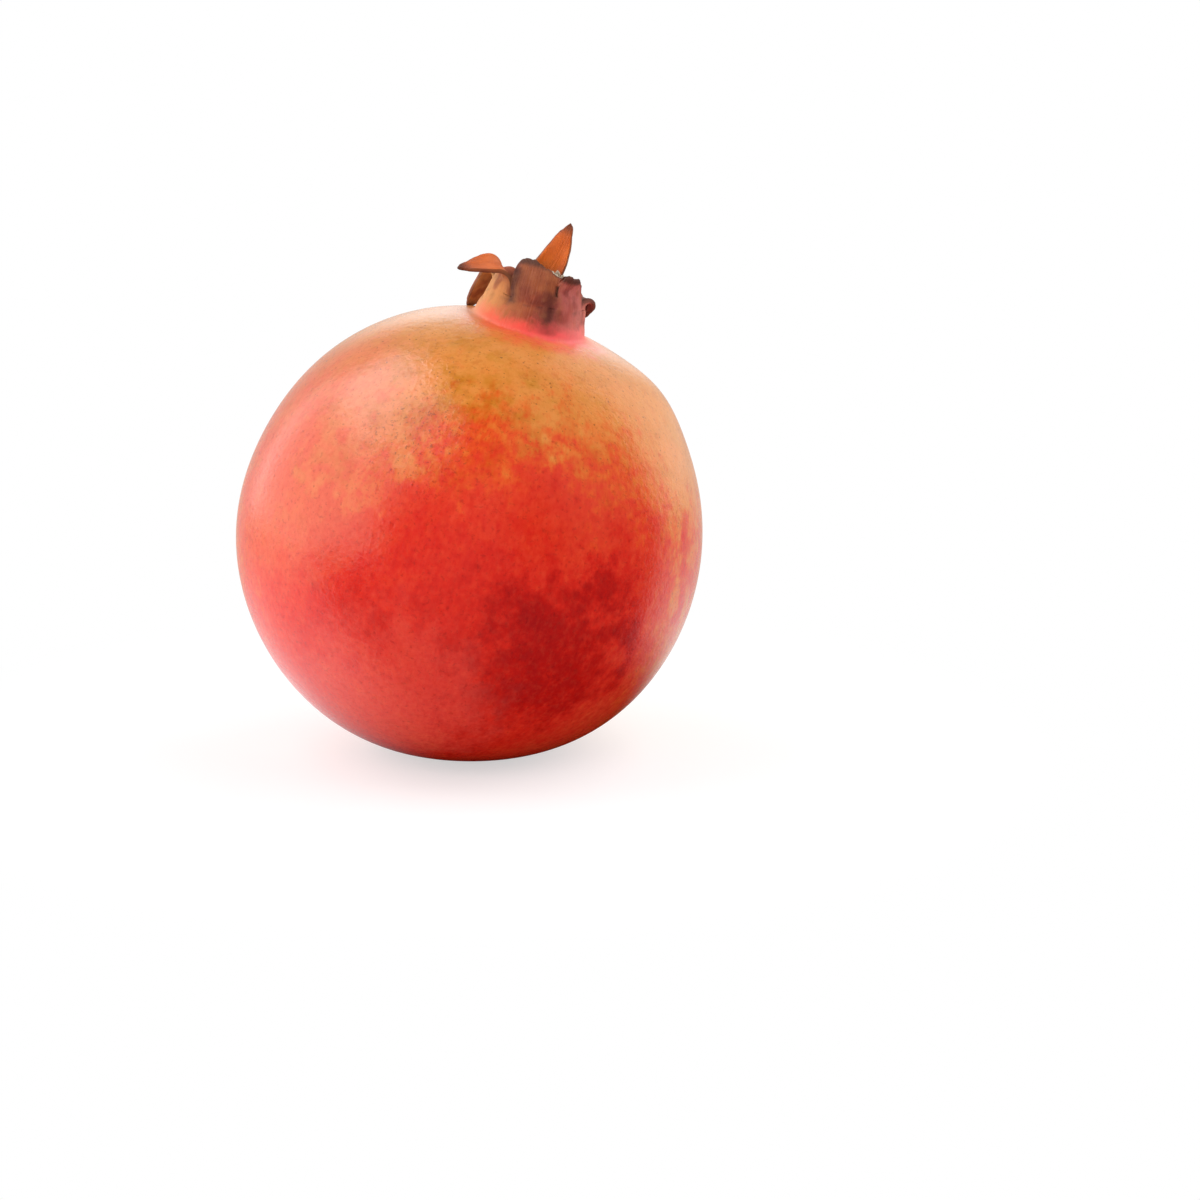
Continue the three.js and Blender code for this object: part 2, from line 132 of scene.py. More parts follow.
SEPALS = [  # anticlockwise from the right; angles in degrees, lengths in millimetres
    Sepal(start=-12, stop=60, length=6.3, square=(1.5, 1.5), round=1.5, skew=0.1, bend=(0.05, 0.5), lean=180,
          slant=0, twist=0, taper=0.12, curl=0.05, notch=0.5, columns=62,
          inside=(0.36, 0.09, 0.05), outside=MAUVE_SKIN),
    Sepal(start=60, stop=118, length=14.5, square=(1.5, 1.5), round=1.35, skew=0, bend=(0.1, 0.9), lean=6,
          slant=-10.5, twist=8, taper=0.1, curl=0.14, notch=0.9, columns=40,
          inside=(0.84, 0.165, 0.016), outside=OLIVE_SKIN),
    Sepal(start=118, stop=172, length=13.2, square=(1.5, 1.5), round=1.3, skew=0, bend=(0.02, 0.32), lean=154,
          slant=-2, twist=-6, taper=-0.04, curl=0.05, notch=0.6, columns=68,
          inside=(0.68, 0.1, 0.008), outside=OLIVE_SKIN),
    Sepal(start=172, stop=236, length=13.2, square=(1.5, 1.5), round=1.4, skew=0, bend=(0.14, 0.5), lean=105,
          slant=0, twist=20, taper=0.12, curl=0.08, notch=0.6, columns=58,
          inside=ORANGE_SKIN, outside=(0.3, 0.07, 0.02)),
    Sepal(start=236, stop=290, length=7.9, square=(5, 14), round=2.6, skew=-0.26, bend=(0.5, 1.05), lean=-52,
          slant=-2, twist=0, taper=-0.3, curl=0.09, notch=0.9, columns=46,
          inside=BROWN_SKIN, outside=(0.27, 0.055, 0.012)),
    Sepal(start=290, stop=348, length=6.3, square=(12, 2.3), round=2.0, skew=-0.12, bend=(0.5, 1.0), lean=40,
          slant=0, twist=0, taper=0.04, curl=0.06, notch=6.5, columns=46,
          inside=(0.36, 0.09, 0.05), outside=(0.42, 0.085, 0.07)),
]
TUBE_SKIN = [  # the tube's colours round the crown, by degrees
    (0, (0.55, 0.15, 0.11)),
    (60, (0.50, 0.20, 0.09)),
    (120, (0.60, 0.29, 0.09)),
    (180, (0.64, 0.28, 0.07)),
    (218, (0.60, 0.22, 0.05)),
    (240, (0.38, 0.10, 0.02)),
    (263, (0.30, 0.05, 0.014)),
    (284, (0.22, 0.035, 0.018)),
    (312, (0.46, 0.09, 0.07)),
    (340, (0.48, 0.13, 0.10)),
]
NECK_SKIN = [  # and those of the neck below it
    (0, (0.80, 0.20, 0.15)),
    (60, (0.66, 0.24, 0.10)),
    (120, (0.64, 0.26, 0.08)),
    (190, (0.70, 0.25, 0.11)),
    (222, (0.74, 0.10, 0.03)),
    (262, (0.82, 0.07, 0.045)),
    (300, (0.84, 0.09, 0.085)),
    (330, (0.82, 0.16, 0.15)),
]
BLUSHED_SHOULDER = np.radians(8)  # how far below the neck its colour can reach
TUBE_LENGTH = 4.2  # from the neck to the rim, along the skin
STAINS_AND_SHADE = [  # dark streaks up the tube: strength, degrees round it, spread, lowest, highest, fade
    # The first streak is painted shade in the notch between two sepals.
    (1.0, 240, 7, 2.0, 11.0, 1.5),
    (0.62, 286, 11, -2.6, 8.0, 1.5),
]
STAIN_AND_SHADE_CAST = np.array([0.3, 0.24, 0.24])  # what is left of the colour in such a streak
BLOTCH_CAST = np.array([0.7, 0.5, 0.45])  # and in the brown blotches
# Painted shade: the near black of the split, and 0.4 of it along the crease.
PAINTED_SLIT_SHADE = np.array([0.03, 0.012, 0.008])
SLIT, SLIT_DEPTH = (288, 2.4, 6.6, 9.2, 0.5), 0.55  # a dark split in the tube's wall, and its depth
CREASE_AT, CREASE_WANDER, CREASE_DEPTH, CREASE_WIDTH = 3.4, 0.35, 0.1, 0.22  # round the tube's front
RAGGEDNESS = 0.16  # how far a sepal's torn edge wanders
THINNING, TWISTING, CURLING, TAPERING, SLANTING = 2.5, 1.5, 2.4, 3, 2  # done at 1 / that of a sepal
FURROW_DEPTH, FURROW_WIDTH, FURROW_REACH = 0.32, 4.5, 2.6  # the groove at each notch; width in degrees
LUMPS = [  # cells round the crown, millimetres along it, height
    (14, 3.4, 0.5),
    (34, 4.0, 0.2),
    (90, 3.0, 0.08),
]


def smooth_bend(start, start_slope, end, end_slope, pull, t):
    """A Hermite curve of radius and height: it leaves and arrives along directions given as a lean
    inwards from straight up, both with the same pull."""
    leave = pull * (t**3 - 2 * t**2 + t)
    arrive = pull * (t**3 - t**2)
    done = t**2 * (3 - 2 * t)
    radius = between(start[0], end[0], done) - leave * np.sin(start_slope) - arrive * np.sin(end_slope)
    height = between(start[1], end[1], done) + leave * np.cos(start_slope) + arrive * np.cos(end_slope)
    return radius, height


def half_width(sepal):
    """Half a sepal's width at its foot, along the tube's rim."""
    return RIM_RADIUS * np.radians(sepal.stop - sepal.start) / 2


def sepal_reach(sepal, across):
    """How far up a sepal reaches at a place across it, from -1 at one notch to 1 at the other:
    length (1 - |across|^square)^(1 / round), drawn to one side, torn by three sine waves, and never
    below the notch's wall."""
    following = SEPALS[(SEPALS.index(sepal) + 1) % len(SEPALS)]
    square = np.where(across < 0, *sepal.square)
    outline = np.maximum(1 - np.abs(across) ** square, 0) ** (1 / sepal.round)
    width = half_width(sepal) * across
    tear = np.sin(2.1 * width + sepal.start) + np.sin(4.7 * width) * 0.6 + np.sin(9.3 * width + 1) * 0.4
    tear = tear * RAGGEDNESS * smooth((1 - np.abs(across)) / 0.3)
    reach = sepal.length * outline * (1 + sepal.skew * across) + tear
    return np.maximum(np.where(across < 0, sepal.notch, following.notch), reach)


def sepal_lean(sepal, along):
    """The lean of a sepal's middle line from the crown axis: the tube's up to the bend's start, the
    sepal's own from its end, and evenly changing between."""
    start, stop = sepal.bend
    bent = np.clip((along / sepal.length - start) / (stop - start), 0, 1)
    return between(-RIM_SLOPE, np.radians(sepal.lean), bent)


def sepal_points(sepal, across, share, side, beyond=0.0):
    """A sepal's faces: side 1 is the outer face, -1 the inner one, and share runs from the rim to
    the edge. The middle line is straight, round an arc, then straight. Across it the blade is an
    arc, bent like the tube at its foot, and it is turned, slanted and narrowed on the way."""
    reach = sepal_reach(sepal, across)
    along = reach * share + beyond
    part = np.clip(along / sepal.length, 0, 1)
    start, end = -RIM_SLOPE, np.radians(sepal.lean)
    straight = sepal.bend[0] * sepal.length
    arc = (sepal.bend[1] - sepal.bend[0]) * sepal.length
    lean = sepal_lean(sepal, along)
    arc_radius = arc / (end - start)
    before = np.minimum(along, straight)
    after = np.maximum(along - straight - arc, 0)
    out = before * np.sin(start) + arc_radius * (np.cos(start) - np.cos(lean)) + after * np.sin(end)
    up = before * np.cos(start) + arc_radius * (np.sin(lean) - np.sin(start)) + after * np.cos(end)

    middle = np.radians(sepal.start + sepal.stop) / 2
    outward, sideways = around(1, middle, 0), around(1, middle + np.pi / 2, 0)
    face = around(np.cos(lean), middle, -np.sin(lean))
    turn = (np.radians(sepal.twist) * smooth(TWISTING * part))[..., None]
    width = sideways * np.cos(turn) + face * np.sin(turn)
    depth = face * np.cos(turn) - sideways * np.sin(turn)
    curve = between(1 / RIM_RADIUS, sepal.curl, smooth(CURLING * part))
    taper = (1 + before * np.sin(start) / RIM_RADIUS) * (1 - sepal.taper * smooth(TAPERING * part))
    angle = curve * half_width(sepal) * taper * across

    slant = np.sin(np.radians(sepal.slant)) * along * smooth(SLANTING * part)
    edge = np.sqrt(np.clip((reach - along) / 2, 0, 1))
    blade = between(WALL, SEPAL_THICKNESS, smooth(THINNING * part)) * between(EDGE_SHARE, 1, edge)
    half_thick = side * np.where(share > 0, blade, WALL) / 2
    points = outward * (RIM_RADIUS + out)[..., None] + sideways * slant[..., None]
    points = points + np.array([0, 0, 1]) * (RIM_HEIGHT + up)[..., None]
    points = points + width * ((1 / curve + half_thick) * np.sin(angle))[..., None]
    return points + depth * ((np.cos(angle) - 1) / curve + half_thick * np.cos(angle))[..., None]


def varied(index, use):
    """A number from 0 to 1 that looks random but is the same every time: the broken-off part of a
    large sine of the index and of what the number is for."""
    return np.mod(np.sin(index * 12.9898 + use * 78.233) * 43758.5453, 1)


def patches(phi, along, cells, step, use):
    """Smooth noise from -1 to 1: each crossing of a lattice, cells round the crown and step tall, has
    its own number, and they run evenly into one another between the crossings."""
    u, v = np.mod(phi / (2 * np.pi), 1) * cells, along / step
    low_u, low_v = np.floor(u), np.floor(v)
    share_u, share_v = smooth(u - low_u), smooth(v - low_v)
    corner = [[varied(np.mod(low_u + i, cells) + 131 * (low_v + j), use) for i in (0, 1)] for j in (0, 1)]
    rows = [between(low, high, share_u) for low, high in corner]
    return 2 * between(rows[0], rows[1], share_v) - 1


def off_from(phi, degrees):
    """The angle from a number of degrees to phi, the short way round."""
    return np.mod(phi - np.radians(degrees) + np.pi, 2 * np.pi) - np.pi


def strip(phi, along, at, spread, low, high, fade):
    """1 in the middle of a strip up the calyx and 0 away from it: a bell round the crown about a
    number of degrees, between two heights above the neck, where it fades over that length."""
    return bell(off_from(phi, at), spread) * smooth((along - low) / fade) * smooth((high - along) / fade)


def crease_share(phi, along):
    """1 along the crease round the front of the tube, 0 away from it: a bell about a height that
    wanders with one smooth noise, times another that breaks it up."""
    wander = CREASE_AT + CREASE_WANDER * patches(phi, along * 0, 22, 1, 8)
    broken = smooth(0.5 + 1.2 * patches(phi, along * 0, 90, 1, 9))
    front = smooth((-0.25 - np.sin(phi)) / 0.5)
    return np.exp(-(((along - wander) / CREASE_WIDTH) ** 2)) * broken * front


def lumpiness(phi, along):
    """How far the calyx's skin stands out of its plain shape, at a height above the neck: lumps of
    three sizes, less a bell at each notch that is deepest at the rim, both growing over the first
    2 mm, and less the split and the crease."""
    height = sum(size * patches(phi, along, cells, step, cells) / 2 for cells, step, size in LUMPS)
    near_rim = np.exp(-(((along - TUBE_LENGTH) / FURROW_REACH) ** 2))
    for sepal in SEPALS:
        height = height - FURROW_DEPTH * bell(off_from(phi, sepal.start), FURROW_WIDTH) * near_rim
    height = height * smooth(along / 2)
    return height - SLIT_DEPTH * strip(phi, along, *SLIT) - CREASE_DEPTH * crease_share(phi, along)


def column_places(sepal):
    """Where a sepal's columns stand across it: evenly along its outline, and closer where it curls,
    since a radian of curl counts as 3 mm of outline."""
    places = np.linspace(-1, 1, 2001)
    reach = sepal_reach(sepal, places)
    steps = 2 * half_width(sepal) * np.diff(places) + np.abs(np.diff(reach))
    steps = steps + 3 * np.abs(np.diff(sepal_lean(sepal, reach)))
    lengths = np.concatenate([[0], np.cumsum(steps)])
    return np.interp(np.arange(sepal.columns) / sepal.columns * lengths[-1], lengths, places)


# ------------------------
# THE FRUIT: SKIN. One closed grid of rows and columns: from the stalk's pit up over the body, up the
# outside of the tube and sepals, over their edges, and down their inside to the floor of the cup.

PIT_ROWS, BODY_ROWS, NECK_ROWS, TUBE_ROWS = 40, 110, 16, 10
SEPAL_ROWS, EDGE_ROWS, CUP_ROWS, FLOOR_ROWS = 36, 5, 14, 8
PIT_SPAN = np.radians(28.6)  # the rows round the stalk and the flat spot are closer
EDGE_BULGE = 0.3  # how far a sepal's rounded edge stands past its reach
FAR_FROM_EDGE = 9.0


def upright(points):
    """Turns points from the fruit's own frame into the upright one, with the table at height 0."""
    x, y, z = np.moveaxis(points, -1, 0)
    height = z * np.cos(CROWN_LEAN) - x * np.sin(CROWN_LEAN) + CENTRE_HEIGHT
    return np.stack([x * np.cos(CROWN_LEAN) + z * np.sin(CROWN_LEAN), y, height], -1)


def ring_mesh(name, *shapes):
    """Puts closed shapes into one mesh, in metres. Each shape is an array of copies x rings x points
    x 3, with a point for each copy before its first ring and one after its last; seen from outside,
    a ring runs anticlockwise when the next ring is above it."""
    all_points, faces, used = [], [], 0
    for rings, starts, finishes in shapes:
        copies, count, width = rings.shape[:3]
        points = np.concatenate([rings.reshape(copies, -1, 3), starts[:, None], finishes[:, None]], 1)
        low = np.arange(count - 1)[:, None] * width
        column = np.arange(width)
        following = (column + 1) % width
        high = low + width
        quads = np.stack([low + column, low + following, high + following, high + column], -1)
        last = (count - 1) * width
        first_fan = np.stack([np.full(width, count * width), following, column], -1)
        last_fan = np.stack([np.full(width, count * width + 1), last + column, last + following], -1)
        offsets = used + np.arange(copies)[:, None, None] * points.shape[1]
        faces += (quads.reshape(1, -1, 4) + offsets).reshape(-1, 4).tolist()
        faces += (np.concatenate([first_fan, last_fan])[None] + offsets).reshape(-1, 3).tolist()
        all_points.append(points.reshape(-1, 3))
        used += copies * points.shape[1]
    mesh = bpy.data.meshes.new(name)
    mesh.from_pydata((upright(np.concatenate(all_points)) * 0.001).tolist(), [], faces)
    mesh.polygons.foreach_set("use_smooth", np.ones(len(mesh.polygons), bool))
    return mesh


def in_scene(name, data):
    """A new object at the origin, in the scene."""
    made = bpy.data.objects.new(name, data)
    bpy.context.collection.objects.link(made)
    return made


def write_attribute(mesh, name, values):
    """Gives each vertex of a mesh a number, a vector or a colour, as values has 1, 3 or 4 columns."""
    values = np.array(values, np.float32).reshape(len(mesh.vertices), -1)
    kinds = {1: ("FLOAT", "value"), 3: ("FLOAT_VECTOR", "vector"), 4: ("FLOAT_COLOR", "color")}
    kind, field = kinds[values.shape[1]]
    mesh.attributes.new(name, kind, "POINT").data.foreach_set(field, values.ravel())


across = [column_places(sepal) for sepal in SEPALS]
sepal_of = np.repeat(np.arange(len(SEPALS)), [len(a) for a in across])
across = np.concatenate(across)
starts, stops, lengths = np.array([(s.start, s.stop, s.length) for s in SEPALS])[sepal_of].T
column_phi = np.radians(between(starts, stops, (1 + across) / 2))


def crown_rows(shares, sides, beyond):
    """Rows of the crown, and how far each point lies along its sepal. At a notch the two sepals
    that meet there share one point."""
    shares, sides, beyond = (np.asarray(v, float)[:, None] for v in (shares, sides, beyond))
    rows = np.zeros((len(shares), len(across), 3))
    along = np.zeros((len(shares), len(across)))
    for number, sepal in enumerate(SEPALS):
        mine = sepal_of == number
        own = across[mine][None, :]
        rows[:, mine] = sepal_points(sepal, own, shares, sides, beyond)
        through = rows[:, mine] - sepal_points(sepal, own, shares, sides - 1, beyond)
        through = through / np.linalg.norm(through, axis=-1, keepdims=True)
        along[:, mine] = sepal_reach(sepal, across[mine]) * shares + beyond
        lumps = lumpiness(column_phi[mine], TUBE_LENGTH + along[:, mine])
        rows[:, mine] += through * lumps[..., None]
        first = np.flatnonzero(mine)[0]
        before = sepal_points(SEPALS[number - 1], np.ones((1, 1)), shares, sides, beyond)[:, 0]
        before = before + through[:, 0] * lumps[:, :1]
        rows[:, first] = (rows[:, first] + before) / 2
    return rows, along


def even(count):
    """count steps from 0, without it, up to 1."""
    return (np.arange(count) + 1) / count


from_stalk = np.concatenate([
    PIT_SPAN * even(PIT_ROWS),
    between(PIT_SPAN, np.pi - SHOULDER_ANGLE, even(BODY_ROWS)),
])
body = body_points(np.pi - from_stalk[:, None], column_phi[None, :])

shoulder = np.hypot(body[-1, :, 0], body[-1, :, 1]), body[-1, :, 2]
neck_t = even(NECK_ROWS)[:, None]
radius, height = smooth_bend(shoulder, np.pi / 2 - SHOULDER_ANGLE, NECK, NECK_SLOPE, SHOULDER_TURN, neck_t)
neck = around(radius, column_phi, height)

tube_t = even(TUBE_ROWS)[:, None]
rim = RIM_RADIUS + WALL / 2 * np.cos(RIM_SLOPE), RIM_HEIGHT + WALL / 2 * np.sin(RIM_SLOPE)
radius, height = smooth_bend(NECK, NECK_SLOPE, rim, RIM_SLOPE, TUBE_TURN, tube_t)
lumps = lumpiness(column_phi[None, :], TUBE_LENGTH * tube_t)
tube = around(radius + lumps * np.cos(RIM_SLOPE), column_phi, height + lumps * np.sin(RIM_SLOPE))

edge_angle = np.pi * np.arange(1, EDGE_ROWS + 1) / (EDGE_ROWS + 1)
back_down = 1 - np.arange(SEPAL_ROWS + 1) / SEPAL_ROWS
crown_share = np.concatenate([even(SEPAL_ROWS), np.ones(EDGE_ROWS), back_down])
crown_side = np.concatenate([np.ones(SEPAL_ROWS), np.cos(edge_angle), -np.ones(SEPAL_ROWS + 1)])
crown_beyond = np.zeros(len(crown_share))
crown_beyond[SEPAL_ROWS:SEPAL_ROWS + EDGE_ROWS] = EDGE_BULGE * np.sin(edge_angle)
crown, crown_along = crown_rows(crown_share, crown_side, crown_beyond)

mouth = np.hypot(crown[-1, :, 0], crown[-1, :, 1]), crown[-1, :, 2]
cup_t = even(CUP_ROWS)[:, None]
floor_edge = CUP_RADIUS, CUP_FLOOR + CUP_FLOOR_RISE
radius, height = smooth_bend(mouth, np.pi, floor_edge, CUP_SLOPE, CUP_TURN, cup_t)
cup = around(radius, column_phi, height)

floor_share = 1 - even(FLOOR_ROWS)[:, None] * FLOOR_ROWS / (FLOOR_ROWS + 1)
cup_floor = around(CUP_RADIUS * floor_share, column_phi, CUP_FLOOR + CUP_FLOOR_RISE * floor_share**3)

skin = np.concatenate([body, neck, tube, crown, cup, cup_floor])
stalk_end = body_points(np.array([np.pi]), np.array([0.0]))
skin_mesh = ring_mesh("fruit_skin", (skin[None], stalk_end, np.array([[0, 0, CUP_FLOOR]])))

# What the colours follow: how far up the calyx, how far inside it, and how far from a sepal's edge
width = len(column_phi)
crown_first = len(body) + NECK_ROWS + TUBE_ROWS
on_crown = slice(crown_first, crown_first + len(crown))
below_neck = (np.pi - SHOULDER_ANGLE - from_stalk) / BLUSHED_SHOULDER
rise = np.concatenate([
    -below_neck[:, None] * np.ones(width), neck_t * np.ones(width), 1 + tube_t * np.ones(width),
    2 + crown_along / lengths,
    2 - cup_t * np.ones(width), np.ones((FLOOR_ROWS, width)),
])
inner = np.concatenate([
    np.zeros((crown_first, width)),
    (1 - crown_side[:, None]) / 2 * np.ones(width), np.ones((CUP_ROWS + FLOOR_ROWS, width)),
])
reach = np.concatenate([sepal_reach(s, across[sepal_of == i]) for i, s in enumerate(SEPALS)])
margin = np.full(rise.shape, FAR_FROM_EDGE)
margin[on_crown] = reach - crown_along


def sepal_colours(side):
    """Each column's colour on that side of its sepal, going half way to the neighbour's at a notch."""
    table = np.array([getattr(s, side) for s in SEPALS])
    own, before, after = table[sepal_of], table[sepal_of - 1], table[(sepal_of + 1) % len(SEPALS)]
    neighbour = np.where((across < 0)[:, None], before, after)
    share = smooth((np.abs(across) - 0.7) / 0.3)[:, None] / 2
    return between(own, neighbour, share)


def round_colours(table):
    """Each column's colour from a table of colours round the crown."""
    degrees = np.array([row[0] for row in table] + [360])
    values = np.array([row[1] for row in table] + [table[0][1]])
    phi = np.mod(np.degrees(column_phi), 360)
    return np.stack([np.interp(phi, degrees, values[:, channel]) for channel in range(3)], -1)


# Up the outside: the tube's colours, then the sepal's own, browned in blotches, stained in streaks
# (one of them painted shade in a notch), and painted shade, black in the split and dark along the
# crease. Down the inside: the sepal's other colour, darkened towards the cup as painted shade.
upward = TUBE_LENGTH * (np.clip(rise, 0, 2) - 1)
upward[on_crown] += crown_along
up_sepal = smooth((rise - 2) / 0.5)[..., None]
outside = between(round_colours(TUBE_SKIN)[None], sepal_colours("outside")[None], up_sepal)
# Painted shade: towards the cup the inside darkens to 0.12 of its colour.
inside = sepal_colours("inside")[None] * between(0.12, 1, smooth((rise - 1.95) / 0.6))[..., None]
tint = between(outside, inside, inner[..., None])
blotch = patches(column_phi, upward, 26, 2.6, 3) + 0.6 * patches(column_phi, upward, 60, 1.3, 4)
blotched = smooth((0.15 - blotch) / 0.8) * smooth((rise - 1) / 0.5) * between(1, 0.35, inner)
tint = tint * between(1, BLOTCH_CAST, blotched[..., None])
# Streaks of stain, the first of them painted shade in a notch between two sepals.
stained_and_shaded = np.max([strength * strip(column_phi, upward, *where) for strength, *where in STAINS_AND_SHADE], 0)
stained_and_shaded = between(1, STAIN_AND_SHADE_CAST, (stained_and_shaded * (1 - inner))[..., None])
# Painted shade: black in the split, 0.4 of that along the crease.
slit_shade = np.maximum(strip(column_phi, upward, *SLIT), 0.4 * crease_share(column_phi, upward)) * (inner < 0.5)
tint = between(tint * stained_and_shaded, PAINTED_SLIT_SHADE, np.clip(slit_shade, 0, 1)[..., None])
neck_tint = round_colours(NECK_SKIN) * stained_and_shaded

# A place on the skin for patterns that run up the fruit: round the crown, and along it in body radii
row_steps = np.linalg.norm(np.diff(skin, axis=0), axis=-1).mean(1)
row_place = np.concatenate([[0], np.cumsum(row_steps)]) / BODY_RADIUS
grain = around(1, column_phi[None, :], row_place[:, None])


def with_ends(values):
    """Values of the skin's rows, with the means of its first and last rows for its two end points."""
    ends = [values[row].reshape(width, -1).mean(0, keepdims=True) for row in (0, -1)]
    return np.concatenate([values.reshape(len(values) * width, -1), *ends])


for name, values in (("rise", rise), ("inner", inner), ("margin", margin), ("grain", grain)):
    write_attribute(skin_mesh, name, with_ends(values))
for name, values in (("tint", tint), ("neck_tint", neck_tint)):
    opaque = np.concatenate([values, np.ones(values.shape[:2] + (1,))], -1)
    write_attribute(skin_mesh, name, with_ends(opaque))

fruit = in_scene("fruit_skin", skin_mesh)


# ------------------------
# THE FRUIT: COLOUR. The rind's waxy skin is tan-yellow where it grew in shade and blushed red where
# the sun reached it; the blush breaks up into streaks and flecks along its border. The calyx is
# redder at its foot, and its sepals have dried to orange, brown and mauve with dark tips.

BLUSH_SIDE = (-0.096, -0.629, -0.289)  # the sunny side; its length is how fast the blush deepens
BLUSH_START = 0.21
BLUSH_PATCHES = [  # direction from the middle, degrees to its foot and to its full height, more blush
    ((-0.002, -0.723, 0.690), 26, 0, -0.24),
    ((0.406, -0.856, -0.318), 28, 0, 0.37),
    ((-0.324, -0.778, -0.537), 28, 0, -0.19),
    ((0.986, -0.152, -0.073), 37, 26, -0.07),
    ((0.986, -0.152, -0.073), 24, 6, 0.2),
    ((0.728, -0.681, -0.074), 22, 0, 0.14),
    ((-0.432, -0.740, 0.515), 18, 0, -0.23),
    ((-0.74, -0.62, 0.25), 16, 0, -0.08),
    ((0.019, -0.741, 0.671), 18, 0, 0.17),
    ((0.25, -0.90, 0.36), 14, 0, -0.03),
    ((-0.29, -0.80, 0.52), 11, 2, 0.09),
    ((-0.88, -0.40, 0.25), 17, 2, 0.08),
    ((-0.08, -0.87, -0.48), 15, 2, 0.05),
    ((0.449, -0.622, 0.642), 18, 0, -0.11),
    ((-0.78, -0.31, 0.54), 26, 0, 0.16),
    ((-0.55, 0.72, -0.42), 50, 0, 0.45),
]
PATCH_WANDER = 0.12  # how far the patches' borders wander
BLUSH_DRIFTS = [  # what the noise follows, its scale, its detail, its strength
    ("place", 1.5, 2.0, 0.3),
    ("place", 4.5, 3.0, 0.16),
    ("place", 11.0, 3.0, 0.24),
    ("place", 26.0, 4.0, 0.33),
    ("streaks", 60.0, 3.0, 0.2),
]
FULL_BLUSH = 1.25  # the amount of blush at the last of the colours below
RIND_COLOURS = [  # from shade to full sun
    (0.00, (0.68, 0.265, 0.055)),
    (0.21, (0.69, 0.225, 0.042)),
    (0.32, (0.70, 0.145, 0.020)),
    (0.39, (0.70, 0.080, 0.012)),
    (0.48, (0.68, 0.038, 0.011)),
    (0.64, (0.61, 0.013, 0.004)),
    (0.80, (0.46, 0.003, 0.0)),
    (1.00, (0.34, 0.0, 0.0)),
]
SIDE_COLOURS = [  # direction, cosines of the angles to its foot and to its full share, that share, colour
    ((-0.70, -0.48, 0.53), 0.74, 0.96, 0.65, (0.64, 0.115, 0.045)),  # paler and pinker
    ((-0.30, -0.80, -0.52), 0.84, 0.96, 0.4, (0.6, 0.055, 0.04)),  # a little rosy
]
OLIVE_SPOT = (-0.05, -0.65, 0.758)  # the direction of the greenest skin
CHAFED_SIDE = (-0.20, -0.79, 0.58)  # and of the most wrinkled skin
PALE_STREAK = (0.74, 0.19, 0.09)
MOTTLE_CAST = (0.78, 0.6, 0.5)  # a cast is what is left of the skin's colour in marks of that kind
STREAK_CAST = (0.9, 0.66, 0.55)
SCUFF_CAST = (0.6, 0.5, 0.4)
OLIVE_CAST = (0.76, 0.74, 0.3)
PORE_CAST = (0.16, 0.18, 0.22)
TIP_CAST = (0.55, 0.4, 0.35)
PORES = [(34.0, 0.2, 0.16), (62.0, 0.24, 0.14)]  # cells to a radius, size in a cell, share of cells with one
TIP_BROWN = (0.045, 0.014, 0.006)
PALE_BARK = (0.5, 0.17, 0.045)
STREAK_DRAWN, FINE_DRAWN, FIBRE_DRAWN = (1, 1, 0.35), (1, 1, 0.85), (1, 1, 0.12)  # out along the fruit
WAXY, DRY, ROUGHNESS_DRIFT = 0.16, 0.7, 0.1  # roughness of the body and of the calyx
SKIN_RELIEF, PORE_RELIEF, FIBRE_RELIEF, WRINKLE_RELIEF = 0.9, 0.12, 1.6, 1.3


def new_material(name):
    """Starts a material. The nodes that are added from then on go into it."""
    global tree
    material = bpy.data.materials.new(name)
    material.use_nodes = True
    tree = material.node_tree
    return material


def fill(socket, value):
    """Gives an input a value or a node's output; None leaves it as it is."""
    if isinstance(value, bpy.types.NodeSocket):
        tree.links.new(value, socket)
    elif value is not None:
        socket.default_value = value


def add(kind, *values, **settings):
    """Adds a node of that kind and fills its inputs in order."""
    made = tree.nodes.new("ShaderNode" + kind)
    for name, value in settings.items():
        setattr(made, name, value)
    for socket, value in zip(made.inputs, values):
        fill(socket, value)
    return made


def feed(**inputs):
    """Fills the shader's inputs of those names, where _ stands for a space."""
    for name, value in inputs.items():
        fill(tree.nodes["Principled BSDF"].inputs[name.replace("_", " ")], value)


def maths(operation, *values):
    """The output of a Math node."""
    return add("Math", *values, operation=operation).outputs[0]


def plus(first, second):
    """The sum of two values."""
    return maths("ADD", first, second)


def times(first, second):
    """The product of two values."""
    return maths("MULTIPLY", first, second)


def ramped(value, low, high, start=0.0, stop=1.0):
    """A value taken from start to stop, with level ends, as it goes from low to high."""
    return add("MapRange", value, low, high, start, stop, interpolation_type="SMOOTHSTEP").outputs["Result"]


def how_far(place, direction):
    """How far a place lies along a direction."""
    return add("VectorMath", place, direction, operation="DOT_PRODUCT").outputs["Value"]


def stretched(place, scales):
    """A place scaled differently along each axis, so that a pattern on it is drawn out."""
    return add("VectorMath", place, scales, operation="MULTIPLY").outputs[0]


def noise(place, scale, detail=2.0, roughness=0.5, output="Fac"):
    """Soft noise from 0 to 1 with scale waves to a unit of place, and as many layers of finer noise
    on it as detail says, each roughness times as strong as the one before."""
    return add("TexNoise", place, None, scale, detail, roughness).outputs[output]


def flecks(place, scale, size, kept):
    """Round dots: 1 inside a dot, 0 outside. Cells of the pattern are kept where their own random
    number is below kept."""
    cells = add("TexVoronoi", place, None, scale)
    own = add("SeparateColor", cells.outputs["Color"]).outputs[0]
    return times(ramped(cells.outputs["Distance"], size, size * 0.4), maths("LESS_THAN", own, kept))


def attribute(name, output="Fac"):
    """What the mesh says at each vertex under that name."""
    return add("Attribute", attribute_name=name).outputs[output]


